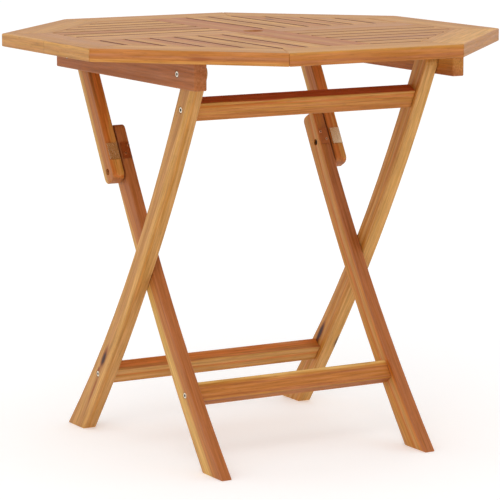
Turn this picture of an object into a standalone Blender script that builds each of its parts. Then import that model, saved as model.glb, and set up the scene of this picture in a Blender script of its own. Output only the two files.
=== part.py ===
"""Folding garden table: an octagonal slatted top on two crossing leg frames.

Sizes are in millimetres and become metres when a mesh is made. The origin is on the floor under
the middle of the top, +Z is up, the rails run along X and the legs cross in planes of equal X.
"""
import math

import bmesh
import bpy
from mathutils import Matrix, Vector

MM = 0.001

# Clearance between pieces that touch, and the play between a leg or strut and its apron
GAP = 0.3
FOLDING_PLAY = 0.5

# Top
TABLE_HEIGHT = 760.0
TOP_WIDTH = 850.0
BOARD_THICKNESS = 23.0
RIM_BOARD_WIDTH = 84.0
CROSS_BOARD_WIDTH = 78.0
SLATS_PER_QUARTER = 6
SLAT_SPACING = 5.5
UMBRELLA_HOLE = 37.0
BOARD_CHAMFER = 1.2

# Aprons, the two bearers under the top
APRON_INSIDE = 505.0
APRON_THICKNESS = 24.0
APRON_DEPTH = 49.5
APRON_FRONT = -279.0
APRON_BACK = 256.0
APRON_SCREW_INSET = 32.0
APRON_SCREW_RECESS = 24.0

# Outer legs, hinged to the aprons at their upper end
OUTER_LEG_THICKNESS = 26.7
OUTER_LEG_WIDTH = 37.0
HINGE_Y = -215.0
HINGE_DROP = 25.0
OUTER_FOOT_FRONT = 209.2
OUTER_FOOT_BACK = 274.5
OUTER_FRONT_ANGLE = 38.2
OUTER_BACK_ANGLE = 42.4
OUTER_TOP_ANGLE = 25.6

# Inner legs, crossing the outer ones, with the struts going on from their upper end
INNER_LEG_THICKNESS = 21.4
INNER_LEG_WIDTH = 41.2
INNER_LEG_RISE = 56.5
INNER_TOP_RADIUS = 10.0
INNER_TOP_ANGLE = 28.4
INNER_TOP_SHIFT = 3.0
INNER_FOOT_FRONT = -278.1
INNER_FOOT_BACK = -208.4
INNER_FRONT_ANGLE = 41.0
INNER_BACK_ANGLE = 38.0

# Places of the pivots, seen from the side
CROSSING_Y = 5.0
CROSSING_HEIGHT = 329.0
KNEE_Y = 112.5
KNEE_HEIGHT = 530.0
STRUT_HINGE_Y = 213.0
STRUT_HINGE_DROP = 26.5

# Struts
STRUT_THICKNESS = 24.0
STRUT_WIDTH = 37.0
STRUT_TAIL = 49.5
STRUT_END_RADIUS = 12.0
LOCK_HOLE = 12.0
LOCK_HOLE_DEPTH = 14.0
LOCK_HOLE_DISTANCE = 29.0

# Rails between the legs: the upper one by its drop below the leg hinge, the others by height
RAIL_WIDTH = 36.0
RAIL_THICKNESS = 24.5
OUTER_UPPER_RAIL_DROP = 66.5
OUTER_LOWER_RAIL_HEIGHT = 118.0
INNER_RAIL_HEIGHT = 128.0

# Fasteners
HEAD_DIAMETER = 12.0
HEAD_HEIGHT = 4.0
SOCKET_SIZE = 6.0
SOCKET_DEPTH = 2.6
BOLT_DIAMETER = 8.0
HINGE_BOLT_GRIP = 18.0
PIN_DIAMETER = 10.0
PIN_GRIP = 15.0
KNEE_HEAD_DEPTH = 7.0
KNEE_HOLE_DEPTH = 12.0
COLLAR_DIAMETER = 22.0

# Metal plates at the knee, one on each narrow front face
PLATE_THICKNESS = 1.5
PLATE_LENGTH = 32.0
PLATE_RISE = 4.0
PLATE_MARGIN = 1.8
PLATE_TONGUE = 7.0

EDGE_CHAMFER = 1.5
CURVE_STEPS = 12
ARC_STEPS = 8
ROUND_SIDES = 12
UMBRELLA_HOLE_SIDES = 24
CUT_MARGIN = 1.0
HEAD_EDGE = 0.7
CHAMFERED_FROM = 31.0
SMOOTH_UP_TO = 35.0
HALF_TURN = 180.0
QUARTER_TURN = 90.0

# Sizes worked out from those above
TOP_APOTHEM = TOP_WIDTH / 2
INNER_APOTHEM = TOP_APOTHEM - RIM_BOARD_WIDTH
UNDERSIDE = TABLE_HEIGHT - BOARD_THICKNESS
APRON_FACE = APRON_INSIDE / 2
OUTER_FACE = APRON_FACE - GAP - FOLDING_PLAY
OUTER_LEG_FACE = OUTER_FACE - OUTER_LEG_THICKNESS
INNER_FACE = OUTER_LEG_FACE - 2 * GAP
INNER_LEG_FACE = INNER_FACE - INNER_LEG_THICKNESS
STRUT_FACE = OUTER_FACE - STRUT_THICKNESS
HINGE = (HINGE_Y, UNDERSIDE - HINGE_DROP)
CROSSING = (CROSSING_Y, CROSSING_HEIGHT)
KNEE = (KNEE_Y, KNEE_HEIGHT)
STRUT_HINGE = (STRUT_HINGE_Y, UNDERSIDE - STRUT_HINGE_DROP)
SIDES = (("left", -1), ("right", 1))
RIM_NAMES = ("right", "back_right", "back", "back_left", "left", "front_left", "front", "front_right")


def clear_scene():
    """Remove every object of the open file."""
    for old in list(bpy.data.objects):
        bpy.data.objects.remove(old, do_unlink=True)


def make_material(name, colour, roughness, metallic=0.0):
    """Return a Principled material with a linear colour."""
    material = bpy.data.materials.new(name)
    material.use_nodes = True
    shader = material.node_tree.nodes["Principled BSDF"]
    shader.inputs["Base Color"].default_value = (*colour, 1.0)
    shader.inputs["Roughness"].default_value = roughness
    shader.inputs["Metallic"].default_value = metallic
    material.diffuse_color = (*colour, 1.0)
    return material


# Plane geometry

def bezier(start, second, third, end, steps):
    """Return points along a cubic curve, both ends included."""
    points = []
    for step in range(steps + 1):
        t = step / steps
        s = 1 - t
        weights = (s ** 3, 3 * s * s * t, 3 * s * t * t, t ** 3)
        controls = (start, second, third, end)
        points.append(tuple(sum(w * c[i] for w, c in zip(weights, controls)) for i in range(2)))
    return points


def arc(centre, radius, first, last, steps):
    """Return points along an arc from one angle to another, in degrees."""
    angles = [math.radians(first + (last - first) * i / steps) for i in range(steps + 1)]
    return [(centre[0] + radius * math.cos(a), centre[1] + radius * math.sin(a)) for a in angles]


def leg_edge(foot_y, foot_lean, top, top_lean):
    """Return one long edge of a leg, from the floor up: straight at the foot, easing to its top.

    A lean is the angle from the vertical, toward -Y for a positive one.
    """
    third = top[1] / 3
    second = (foot_y - third * math.tan(math.radians(foot_lean)), third)
    before_top = (top[0] + third * math.tan(math.radians(top_lean)), top[1] - third)
    return bezier((foot_y, 0.0), second, before_top, top, CURVE_STEPS)


def clip(points, normal, limit):
    """Cut a convex outline, keeping what lies within limit along normal."""
    kept = []
    for index, point in enumerate(points):
        previous = points[index - 1]
        here = point[0] * normal[0] + point[1] * normal[1] - limit
        before = previous[0] * normal[0] + previous[1] * normal[1] - limit
        if here * before < 0:
            t = before / (before - here)
            kept.append(tuple(previous[i] + t * (point[i] - previous[i]) for i in range(2)))
        if here <= 0:
            kept.append(point)
    return kept


def at_height(edge, height):
    """Return the Y of an edge's point at a height."""
    for low, high in zip(edge, edge[1:]):
        if low[1] <= height <= high[1]:
            return low[0] + (high[0] - low[0]) * (height - low[1]) / (high[1] - low[1])
    raise ValueError("height is off the leg")


def centre_and_lean(front, back, height):
    """Return a leg's middle at a height, and its angle from the vertical there, toward +Y."""
    middle = (at_height(front, height) + at_height(back, height)) / 2
    reach = RAIL_WIDTH / 2
    above = (at_height(front, height + reach) + at_height(back, height + reach)) / 2
    below = (at_height(front, height - reach) + at_height(back, height - reach)) / 2
    return (middle, height), math.atan2(above - below, 2 * reach)


# Solids

def prism(bm, outline, axis, low, high):
    """Add a closed prism: an outline in the plane across the axis, from low to high along it."""
    def place(point, level):
        return (level, *point) if axis == "x" else (*point, level)

    area = sum(a[0] * b[1] - b[0] * a[1] for a, b in zip(outline, outline[1:] + outline[:1]))
    ring = outline if area > 0 else outline[::-1]
    lower = [bm.verts.new(place(p, min(low, high))) for p in ring]
    upper = [bm.verts.new(place(p, max(low, high))) for p in ring]
    bm.faces.new(lower[::-1])
    bm.faces.new(upper)
    for i, vert in enumerate(lower):
        j = (i + 1) % len(lower)
        bm.faces.new((vert, lower[j], upper[j], upper[i]))


def turned(bm, start, direction, rings):
    """Add a closed turned solid. A ring is (radius, distance, hexagonal) along the direction."""
    direction = Vector(direction).normalized()
    side = direction.orthogonal().normalized()
    other = direction.cross(side)
    loops = []
    for radius, distance, hexagonal in rings:
        loop = []
        for i in range(ROUND_SIDES):
            angle = 2 * math.pi * i / ROUND_SIDES
            flat = math.cos(math.pi / 6) if hexagonal and i % 2 else 1.0
            offset = radius * flat * (math.cos(angle) * side + math.sin(angle) * other)
            loop.append(bm.verts.new(Vector(start) + direction * distance + offset))
        loops.append(loop)
    bm.faces.new(loops[0][::-1])
    bm.faces.new(loops[-1])
    for loop, following in zip(loops, loops[1:]):
        for i, vert in enumerate(loop):
            j = (i + 1) % ROUND_SIDES
            bm.faces.new((vert, loop[j], following[j], following[i]))


def rod(bm, start, direction, diameter, length):
    """Add a plain cylinder."""
    turned(bm, start, direction, ((diameter / 2, 0, False), (diameter / 2, length, False)))


def bolt(bm, start, direction, length):
    """Add a bolt with a hexagonal socket. Start is the middle of its head's outer face."""
    head, shank = HEAD_DIAMETER, BOLT_DIAMETER
    turned(bm, start, direction, (
        (SOCKET_SIZE / 2, SOCKET_DEPTH, True), (SOCKET_SIZE / 2, 0, True), (head / 2 - HEAD_EDGE, 0, False),
        (head / 2, HEAD_EDGE, False), (head / 2, HEAD_HEIGHT, False), (shank / 2, HEAD_HEIGHT, False),
        (shank / 2, length - shank / 4, False), (shank / 4, length, False)))


def finish(name, bm, material, parent=None, chamfer=0.0, cutter=None, smooth=False):
    """Turn a bmesh in millimetres into an object, with its chamfer and its cuts as modifiers."""
    bmesh.ops.recalc_face_normals(bm, faces=bm.faces)
    bmesh.ops.scale(bm, vec=(MM, MM, MM), verts=bm.verts)
    mesh = bpy.data.meshes.new(name)
    bm.to_mesh(mesh)
    bm.free()
    if smooth:
        mesh.shade_smooth()
        mesh.set_sharp_from_angle(angle=math.radians(SMOOTH_UP_TO))
    obj = bpy.data.objects.new(name, mesh)
    bpy.context.scene.collection.objects.link(obj)
    if material:
        mesh.materials.append(material)
    if parent:
        mesh.transform(Matrix.Translation(-parent.location))
        obj.parent = parent
    if chamfer:
        bevel = obj.modifiers.new("chamfer", "BEVEL")
        bevel.width = chamfer * MM
        bevel.segments = 1
        bevel.limit_method = "ANGLE"
        bevel.angle_limit = math.radians(CHAMFERED_FROM)
    if cutter:
        guide = finish(name + "_cutter", cutter, None, parent)
        guide.hide_render = True
        guide.display_type = "WIRE"
        cut = obj.modifiers.new("holes", "BOOLEAN")
        cut.operation = "DIFFERENCE"
        cut.solver = "EXACT"
        cut.object = guide
    return obj


def pivot(name, point):
    """Add an empty on a joint's axis, given as (Y, Z)."""
    empty = bpy.data.objects.new(name, None)
    empty.location = (0.0, point[0] * MM, point[1] * MM)
    bpy.context.scene.collection.objects.link(empty)
    return empty


# Holes, each slightly larger than what goes in it

def hole(bm, start, direction, diameter, length):
    """Add the cutter of a hole with clearance all round, open at its start."""
    direction = Vector(direction).normalized()
    origin = Vector(start) - direction * CUT_MARGIN
    wider = diameter + 2 * GAP / math.cos(math.pi / ROUND_SIDES)
    rod(bm, origin, direction, wider, length + CUT_MARGIN + GAP)


def head_hole(bm, start, direction, head_depth, length):
    """Add the cutter of a stepped hole for a bolt's sunk head and its shank."""
    direction = Vector(direction).normalized()
    spread = GAP / math.cos(math.pi / ROUND_SIDES)
    head, shank = HEAD_DIAMETER / 2 + spread, BOLT_DIAMETER / 2 + spread
    turned(bm, start, direction, (
        (head, -CUT_MARGIN, False), (head, head_depth + GAP, False),
        (shank, head_depth + GAP, False), (shank, length + GAP, False)))


def recess(bm, start, direction, depth):
    """Add the cutter of a round recess for a screw's head."""
    hole(bm, start, direction, HEAD_DIAMETER, depth)


# Top

def rim_outline(angle):
    """Return one mitred rim board seen from above, facing out at an angle."""
    slope = math.tan(math.pi / 8)
    mitre = GAP / 2 / math.cos(math.pi / 8)
    corners = []
    for sign, out in ((-1, TOP_APOTHEM), (1, TOP_APOTHEM), (1, INNER_APOTHEM), (-1, INNER_APOTHEM)):
        along = sign * (out * slope - mitre)
        corners.append((out * math.cos(angle) - along * math.sin(angle),
                        out * math.sin(angle) + along * math.cos(angle)))
    return corners


def apron_screw_places():
    """Return the Y of each sunk screw that holds an apron to the top."""
    return (APRON_FRONT + APRON_SCREW_INSET, 0.0, APRON_BACK - APRON_SCREW_INSET)


def make_rim(wood):
    """Make the eight mitred boards of the rim."""
    for index, side in enumerate(RIM_NAMES):
        board = bmesh.new()
        prism(board, rim_outline(index * math.pi / 4), "z", UNDERSIDE, TABLE_HEIGHT)
        finish("rim_board_" + side, board, wood, chamfer=BOARD_CHAMFER)


def make_cross_boards(wood):
    """Make the long board along Y, with the umbrella hole, and the two boards that meet it."""
    half = CROSS_BOARD_WIDTH / 2
    end = INNER_APOTHEM - GAP
    board = bmesh.new()
    prism(board, [(-half, -end), (half, -end), (half, end), (-half, end)], "z", UNDERSIDE, TABLE_HEIGHT)
    cutter = bmesh.new()
    circle = arc((0, 0), UMBRELLA_HOLE / 2, 0, 2 * HALF_TURN, UMBRELLA_HOLE_SIDES)[:-1]
    prism(cutter, circle, "z", UNDERSIDE - CUT_MARGIN, TABLE_HEIGHT + CUT_MARGIN)
    finish("cross_board_long", board, wood, chamfer=BOARD_CHAMFER, cutter=cutter)
    for side, sign in SIDES:
        board = bmesh.new()
        start = half + GAP
        prism(board, [(sign * start, -half), (sign * end, -half), (sign * end, half), (sign * start, half)],
              "z", UNDERSIDE, TABLE_HEIGHT)
        finish("cross_board_" + side, board, wood, chamfer=BOARD_CHAMFER)


def slat_outline(x_sign, y_sign, along_y, low, high):
    """Return one slat seen from above, its outer end following the inside of the rim."""
    start = CROSS_BOARD_WIDTH / 2 + GAP
    corners = [(low, start), (high, start), (high, INNER_APOTHEM * 2), (low, INNER_APOTHEM * 2)]
    if not along_y:
        corners = [(b, a) for a, b in corners]
    for index in range(3):
        angle = index * math.pi / 4
        corners = clip(corners, (math.cos(angle), math.sin(angle)), INNER_APOTHEM - GAP)
    return [(x_sign * x, y_sign * y) for x, y in corners]


def make_slats(wood):
    """Make the slats of the four quarters, each quarter turned from the next."""
    half = CROSS_BOARD_WIDTH / 2
    room = INNER_APOTHEM - half
    width = (room - SLAT_SPACING) / SLATS_PER_QUARTER - SLAT_SPACING
    quarters = (("front_left", -1, -1, True), ("front_right", 1, -1, False),
                ("back_right", 1, 1, True), ("back_left", -1, 1, False))
    for name, x_sign, y_sign, along_y in quarters:
        for number in range(SLATS_PER_QUARTER):
            low = half + SLAT_SPACING + number * (width + SLAT_SPACING)
            slat = bmesh.new()
            prism(slat, slat_outline(x_sign, y_sign, along_y, low, low + width), "z", UNDERSIDE, TABLE_HEIGHT)
            finish(f"slat_{name}_{number + 1}", slat, wood, chamfer=BOARD_CHAMFER)


def make_aprons(wood, steel):
    """Make the two bearers, and the bolts that carry the legs and the struts."""
    low = UNDERSIDE - APRON_DEPTH
    high = UNDERSIDE - GAP
    outline = [(APRON_FRONT, low), (APRON_BACK, low), (APRON_BACK, high), (APRON_FRONT, high)]
    reach = APRON_THICKNESS - GAP + APRON_FACE - OUTER_FACE + HINGE_BOLT_GRIP
    for side, sign in SIDES:
        outer = sign * (APRON_FACE + APRON_THICKNESS)
        apron = bmesh.new()
        prism(apron, outline, "x", sign * APRON_FACE, outer)
        cutter = bmesh.new()
        for y in apron_screw_places():
            middle = sign * (APRON_FACE + APRON_THICKNESS / 2)
            recess(cutter, (middle, y, low), (0, 0, 1), APRON_SCREW_RECESS)
        for y, z in (HINGE, STRUT_HINGE):
            head_hole(cutter, (outer, y, z), (-sign, 0, 0), HEAD_HEIGHT + GAP, APRON_THICKNESS + CUT_MARGIN)
        finish("apron_" + side, apron, wood, chamfer=EDGE_CHAMFER, cutter=cutter)
        for name, (y, z) in (("outer_leg_bolt_", HINGE), ("strut_bolt_", STRUT_HINGE)):
            hinge_bolt = bmesh.new()
            bolt(hinge_bolt, (outer - sign * GAP, y, z), (-sign, 0, 0), reach)
            finish(name + side, hinge_bolt, steel, smooth=True)


# Outer frame

def outer_leg_edges():
    """Return the front and back edges of an outer leg, each meeting its round upper end."""
    radius = OUTER_LEG_WIDTH / 2
    lean = math.radians(OUTER_TOP_ANGLE)
    reach = (radius * math.cos(lean), radius * math.sin(lean))
    back_top = (HINGE[0] + reach[0], HINGE[1] + reach[1])
    front_top = (HINGE[0] - reach[0], HINGE[1] - reach[1])
    front = leg_edge(OUTER_FOOT_FRONT, OUTER_FRONT_ANGLE, front_top, OUTER_TOP_ANGLE)
    back = leg_edge(OUTER_FOOT_BACK, OUTER_BACK_ANGLE, back_top, OUTER_TOP_ANGLE)
    return front, back


def tilted_rail(edges, height):
    """Return a rail's outline seen from the side, lying along the leg, and its middle."""
    middle, lean = centre_and_lean(*edges, height)
    along = (math.sin(lean), math.cos(lean))
    across = (math.cos(lean), -math.sin(lean))
    corners = []
    for u, v in ((-1, -1), (1, -1), (1, 1), (-1, 1)):
        corners.append(tuple(middle[i] + u * RAIL_WIDTH / 2 * along[i] + v * RAIL_THICKNESS / 2 * across[i]
                             for i in range(2)))
    return corners, middle


def make_rail(name, wood, edges, height, face, leg_thickness, parent):
    """Make one rail between a pair of legs, and return its middle, where its screws go in."""
    outline, middle = tilted_rail(edges, height)
    end = face - leg_thickness - GAP
    rail = bmesh.new()
    prism(rail, outline, "x", -end, end)
    finish(name, rail, wood, parent, EDGE_CHAMFER)
    return middle


def make_outer_frame(wood, steel, parent):
    """Make the outer legs, their two rails and the pins at the crossing."""
    edges = outer_leg_edges()
    front, back = edges
    top = arc(HINGE, OUTER_LEG_WIDTH / 2, OUTER_TOP_ANGLE, OUTER_TOP_ANGLE + HALF_TURN, ARC_STEPS)[1:-1]
    outline = back + top + front[::-1]
    heights = (("outer_upper_rail", HINGE[1] - OUTER_UPPER_RAIL_DROP),
               ("outer_lower_rail", OUTER_LOWER_RAIL_HEIGHT))
    middles = [make_rail(name, wood, edges, height, OUTER_FACE, OUTER_LEG_THICKNESS, parent)
               for name, height in heights]
    for side, sign in SIDES:
        leg = bmesh.new()
        prism(leg, outline, "x", sign * OUTER_LEG_FACE, sign * OUTER_FACE)
        cutter = bmesh.new()
        hole(cutter, (sign * OUTER_FACE, *HINGE), (-sign, 0, 0), BOLT_DIAMETER, HINGE_BOLT_GRIP)
        hole(cutter, (sign * OUTER_LEG_FACE, *CROSSING), (sign, 0, 0), PIN_DIAMETER, PIN_GRIP)
        for middle in middles:
            recess(cutter, (sign * OUTER_FACE, *middle), (-sign, 0, 0), HEAD_HEIGHT)
        finish("outer_leg_" + side, leg, wood, parent, EDGE_CHAMFER, cutter)
        pin = bmesh.new()
        length = PIN_GRIP + OUTER_LEG_FACE - INNER_FACE + PIN_GRIP
        rod(pin, (sign * (OUTER_LEG_FACE + PIN_GRIP), *CROSSING), (-sign, 0, 0), PIN_DIAMETER, length)
        finish("crossing_pin_" + side, pin, steel, parent, smooth=True)


# Inner frame

def inner_leg_outline():
    """Return the outline of an inner leg, with its cut and rounded upper end, and its long edges."""
    lean = math.radians(INNER_TOP_ANGLE)
    across = (math.cos(lean), -math.sin(lean))
    radius = INNER_TOP_RADIUS
    side = INNER_LEG_WIDTH / 2 - radius
    rise = INNER_LEG_RISE - radius - side * math.sin(lean)
    end = (KNEE[0] + INNER_TOP_SHIFT + rise * math.tan(lean), KNEE[1] + rise)
    centres = [tuple(end[i] + sign * side * across[i] for i in range(2)) for sign in (1, -1)]
    back_top = tuple(centres[0][i] + radius * across[i] for i in range(2))
    front_top = tuple(centres[1][i] - radius * across[i] for i in range(2))
    front = leg_edge(INNER_FOOT_FRONT, -INNER_FRONT_ANGLE, front_top, -INNER_TOP_ANGLE)
    back = leg_edge(INNER_FOOT_BACK, -INNER_BACK_ANGLE, back_top, -INNER_TOP_ANGLE)
    first = -INNER_TOP_ANGLE
    corner = arc(centres[0], radius, first, first + QUARTER_TURN, ARC_STEPS // 2)[1:]
    corner += arc(centres[1], radius, first + QUARTER_TURN, first + HALF_TURN, ARC_STEPS // 2)[:-1]
    return back + corner + front[::-1], (front, back)


def strut_direction():
    """Return the unit vector from the knee to the upper end of a strut."""
    reach = Vector((STRUT_HINGE[0] - KNEE[0], STRUT_HINGE[1] - KNEE[1]))
    reach.normalize()
    return reach.x, reach.y


def strut_plate_middle():
    """Return the middle of a strut plate's seat, on the strut's narrow front face."""
    along = strut_direction()
    across = (-along[1], along[0])
    return tuple(KNEE[i] + PLATE_RISE * along[i] + STRUT_WIDTH / 2 * across[i] for i in range(2))


def plate_outline(middle, along, tongue=0.0, clearance=0.0):
    """Return a plate seen from the side, lying on a front face, its ends bent into the wood."""
    across = (-along[1], along[0])
    half = PLATE_LENGTH / 2 + clearance
    thick = PLATE_THICKNESS + 2 * clearance
    low = GAP - clearance
    high = GAP + PLATE_THICKNESS + clearance
    corners = [(-half, high), (-half, -tongue - clearance), (-half + thick, -tongue - clearance),
               (-half + thick, low), (half - thick, low), (half - thick, -tongue - clearance),
               (half, -tongue - clearance), (half, high)]
    if not tongue:
        corners = [(-half, high), (-half, low), (half, low), (half, high)]
    return [tuple(middle[i] + u * along[i] + v * across[i] for i in range(2)) for u, v in corners]


def leg_plate_seat(front):
    """Return the middle and the direction of a leg plate's seat on the narrow front face."""
    height = strut_plate_middle()[1]
    reach = PLATE_LENGTH / 2
    low, high = height - reach, height + reach
    run = Vector((at_height(front, high) - at_height(front, low), high - low)).normalized()
    return ((at_height(front, high) + at_height(front, low)) / 2, height), (run.x, run.y)


def knee_bolt(bm, sign):
    """Add a knee bolt: a sunk head, a shank through the leg, and a collar between leg and strut."""
    start = INNER_LEG_FACE + KNEE_HEAD_DEPTH - HEAD_HEIGHT
    collar = INNER_FACE + GAP - start
    end = STRUT_FACE - GAP - start
    turned(bm, (sign * start, *KNEE), (sign, 0, 0), (
        (SOCKET_SIZE / 2, SOCKET_DEPTH, True), (SOCKET_SIZE / 2, 0, True), (HEAD_DIAMETER / 2, 0, False),
        (HEAD_DIAMETER / 2, HEAD_HEIGHT, False), (BOLT_DIAMETER / 2, HEAD_HEIGHT, False),
        (BOLT_DIAMETER / 2, collar, False), (COLLAR_DIAMETER / 2, collar, False),
        (COLLAR_DIAMETER / 2, end, False)))


def make_inner_frame(wood, steel, bright, parent):
    """Make the inner legs, their rail, and the bolts and plates that they carry at the knees."""
    outline, edges = inner_leg_outline()
    middle = make_rail("inner_rail", wood, edges, INNER_RAIL_HEIGHT, INNER_FACE, INNER_LEG_THICKNESS, parent)
    seat = leg_plate_seat(edges[0])
    for side, sign in SIDES:
        leg = bmesh.new()
        prism(leg, outline, "x", sign * INNER_LEG_FACE, sign * INNER_FACE)
        cutter = bmesh.new()
        hole(cutter, (sign * INNER_FACE, *CROSSING), (-sign, 0, 0), PIN_DIAMETER, PIN_GRIP)
        head_hole(cutter, (sign * INNER_LEG_FACE, *KNEE), (sign, 0, 0), KNEE_HEAD_DEPTH,
                  INNER_LEG_THICKNESS + CUT_MARGIN)
        recess(cutter, (sign * INNER_FACE, *middle), (-sign, 0, 0), HEAD_HEIGHT)
        finish("inner_leg_" + side, leg, wood, parent, EDGE_CHAMFER, cutter)
        through_bolt = bmesh.new()
        knee_bolt(through_bolt, sign)
        finish("knee_bolt_" + side, through_bolt, steel, parent, smooth=True)
        plate = bmesh.new()
        prism(plate, plate_outline(*seat), "x", sign * (INNER_LEG_FACE + PLATE_MARGIN),
              sign * (INNER_FACE - PLATE_MARGIN))
        finish("leg_plate_" + side, plate, bright, parent)


# Struts

def strut_outline(along):
    """Return a strut seen from the side: a round upper end, and a square lower one with soft corners."""
    lean = math.degrees(math.atan2(along[0], along[1]))
    radius = STRUT_END_RADIUS
    reach = STRUT_TAIL - radius
    side = STRUT_WIDTH / 2 - radius
    across = (along[1], -along[0])
    outline = arc(STRUT_HINGE, STRUT_WIDTH / 2, -lean, HALF_TURN - lean, ARC_STEPS)
    for sign, first in ((-1, HALF_TURN), (1, HALF_TURN + QUARTER_TURN)):
        corner = tuple(KNEE[i] - reach * along[i] + sign * side * across[i] for i in range(2))
        outline += arc(corner, radius, first - lean, first + QUARTER_TURN - lean, ARC_STEPS // 2)
    return outline


def make_strut(side, sign, wood, bright, parent):
    """Make one strut with its round ends, and its plate."""
    along = strut_direction()
    strut = bmesh.new()
    prism(strut, strut_outline(along), "x", sign * STRUT_FACE, sign * OUTER_FACE)
    lock = tuple(KNEE[i] - LOCK_HOLE_DISTANCE * along[i] for i in range(2))
    cutter = bmesh.new()
    hole(cutter, (sign * OUTER_FACE, *STRUT_HINGE), (-sign, 0, 0), BOLT_DIAMETER, HINGE_BOLT_GRIP)
    hole(cutter, (sign * OUTER_FACE, *lock), (-sign, 0, 0), LOCK_HOLE, LOCK_HOLE_DEPTH)
    hole(cutter, (sign * STRUT_FACE, *KNEE), (sign, 0, 0), BOLT_DIAMETER, KNEE_HOLE_DEPTH)
    seat = strut_plate_middle()
    plate_ends = (sign * (STRUT_FACE + PLATE_MARGIN), sign * (OUTER_FACE - PLATE_MARGIN))
    slot_ends = (plate_ends[0] - sign * GAP, plate_ends[1] + sign * GAP)
    slots = plate_outline(seat, along, PLATE_TONGUE, GAP)
    prism(cutter, slots, "x", *slot_ends)
    finish("strut_" + side, strut, wood, parent, EDGE_CHAMFER, cutter)
    plate = bmesh.new()
    prism(plate, plate_outline(seat, along, PLATE_TONGUE), "x", *plate_ends)
    finish("strut_plate_" + side, plate, bright, parent)


def build():
    """Build the whole table."""
    clear_scene()
    top_wood = make_material("top_wood", (0.52, 0.33, 0.18), 0.55)
    leg_wood = make_material("leg_wood", (0.50, 0.25, 0.09), 0.5)
    apron_wood = make_material("apron_wood", (0.40, 0.15, 0.07), 0.5)
    steel = make_material("zinc_steel", (0.62, 0.62, 0.60), 0.3, 1.0)
    bright = make_material("plate_steel", (0.75, 0.70, 0.62), 0.25, 1.0)
    make_rim(top_wood)
    make_cross_boards(top_wood)
    make_slats(top_wood)
    make_aprons(apron_wood, steel)
    make_outer_frame(leg_wood, steel, pivot("outer_frame_hinge", HINGE))
    make_inner_frame(leg_wood, steel, bright, pivot("inner_frame_hinge", CROSSING))
    for side, sign in SIDES:
        make_strut(side, sign, leg_wood, bright, pivot("strut_hinge_" + side, STRUT_HINGE))


build()
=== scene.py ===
"""Looks of the folding garden table: oiled boards, zinc plated fasteners and a plain studio.

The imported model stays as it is. Every board gets its own cut of wood, worked out in the board's own
millimetres, and the screws that the model leaves out are added in their recesses.
"""
import logging
import math
import random
from dataclasses import dataclass, field, replace
from enum import Enum

import bmesh
import bpy
from mathutils import Matrix, Vector


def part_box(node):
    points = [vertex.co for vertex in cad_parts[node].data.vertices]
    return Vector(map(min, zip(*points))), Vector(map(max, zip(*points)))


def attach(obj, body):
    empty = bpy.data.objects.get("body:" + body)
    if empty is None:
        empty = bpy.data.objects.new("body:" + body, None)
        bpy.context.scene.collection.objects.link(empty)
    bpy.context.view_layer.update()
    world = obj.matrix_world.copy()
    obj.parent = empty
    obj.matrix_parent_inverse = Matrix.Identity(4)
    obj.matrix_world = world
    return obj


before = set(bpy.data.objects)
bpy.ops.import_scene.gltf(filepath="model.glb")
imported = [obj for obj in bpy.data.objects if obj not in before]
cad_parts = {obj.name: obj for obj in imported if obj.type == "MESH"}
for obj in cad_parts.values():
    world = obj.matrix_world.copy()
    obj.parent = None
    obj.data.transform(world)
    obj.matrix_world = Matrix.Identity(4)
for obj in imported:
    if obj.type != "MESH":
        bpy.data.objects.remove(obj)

MM = 0.001
LEFT, RIGHT = -1, 1
SIDES = {"left": LEFT, "right": RIGHT}
UP = Vector((0.0, 0.0, 1.0))

NOISE_LOW, NOISE_HIGH = 0.3, 0.7  # nearly all values of a noise lie between these
SLATS_IN_QUARTER = 6
# The number that each kind of board's patterns start from.
RIM_SEED, FLAT_SEED, APRON_SEED = 3, 20, 61
OUTER_LEG_SEED, INNER_LEG_SEED, STRUT_SEED, RAIL_SEED = 71, 81, 91, 101

log = logging.getLogger("table")

Pair = tuple[float, float]
Triple = tuple[float, float, float]
Quad = tuple[float, float, float, float]


class Tone(Enum):
    """Colours of the wood, from the pale sapwood to the dark heart of a knot, and a tone of painted
    shade for the slats' sides.
    """

    SAPWOOD = "#D6A95A"
    STRAW = "#D09950"
    HONEY = "#C8914F"
    GOLD = "#C68536"
    TAN = "#BB8246"
    BISCUIT = "#BB8457"
    ROSE = "#B06C3A"
    AMBER = "#BA722D"
    ORANGE = "#C66E24"
    COPPER = "#A9612B"
    CHESTNUT = "#9A501C"
    BURNT = "#B2501E"
    RUSSET = "#853B16"
    INK = "#43241A"
    # painted shade: the dark tone of the slats' narrow sides, standing in for the shade in the gaps
    # between them
    SOOT = "#6E371B"


Bands = tuple[tuple[float, Tone], ...]


class Metal(Enum):
    """Colours of the bare and plated steel, and a near-black one for painted shade."""

    ZINC = "#F2E6D2"
    ROLLED = "#EADFC6"
    BRONZED = "#B87548"
    COPPERED = "#E0B494"
    # painted shade: near-black, standing in for the shade in sockets, round bolt heads and on the
    # knee bolts deep in their holes
    BLACKENED = "#2E2723"


def linear(code: str) -> Quad:
    """Turn an sRGB hex colour into Blender's linear colour.

    Args:
        code: the colour as # and six hex digits.

    Returns:
        Red, green, blue and an alpha of 1.
    """
    parts = [int(code[i:i + 2], 16) / 255 for i in (1, 3, 5)]
    red, green, blue = (c / 12.92 if c <= 0.04045 else ((c + 0.055) / 1.055) ** 2.4 for c in parts)
    return red, green, blue, 1.0


def add_node(tree: bpy.types.NodeTree, kind: str, inputs: dict[int | str, object] | None = None,
             **settings: object) -> bpy.types.Node:
    """Add a node with its settings and links.

    Args:
        tree: the material's or world's node tree.
        kind: the node's type name.
        inputs: a number, colour, vector or output socket for each input that isn't left alone.
        settings: the node's own properties.

    Returns:
        The new node.
    """
    made = tree.nodes.new(kind)
    for name, value in settings.items():
        setattr(made, name, value)
    for key, value in (inputs or {}).items():
        if isinstance(value, bpy.types.NodeSocket):
            tree.links.new(value, made.inputs[key])
        else:
            made.inputs[key].default_value = value
    return made


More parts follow.
